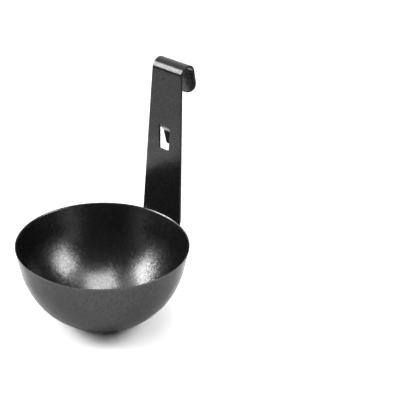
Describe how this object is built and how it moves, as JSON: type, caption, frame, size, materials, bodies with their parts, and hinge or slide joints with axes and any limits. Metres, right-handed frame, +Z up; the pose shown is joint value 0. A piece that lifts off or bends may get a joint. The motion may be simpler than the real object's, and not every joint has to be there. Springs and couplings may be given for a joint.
{
  "type": "egg poaching cup",
  "caption": "Round-bottomed egg poaching cup with a flat foot and an upright strip handle, whose hooked top and lanced tab hang it on the rim of a pan.",
  "frame": {"origin": "centre of the cup's flat foot, on the surface that the cup stands on", "axes": "+Z up along the cup's axis, +Y from the cup's axis to the handle, +X across the handle's width"},
  "size_m": [0.08, 0.0947, 0.1146],
  "materials": {
    "nonstick_coating": "black non-stick coating on sheet steel, semi-gloss, with a fine grain",
    "weld_metal": "bare fused steel inside the joint"
  },
  "bodies": {
    "root": {"cup_bowl": "nonstick_coating", "hook_handle": "nonstick_coating", "spot_weld_upper": "weld_metal", "spot_weld_lower": "weld_metal"}
  },
  "joints": []
}
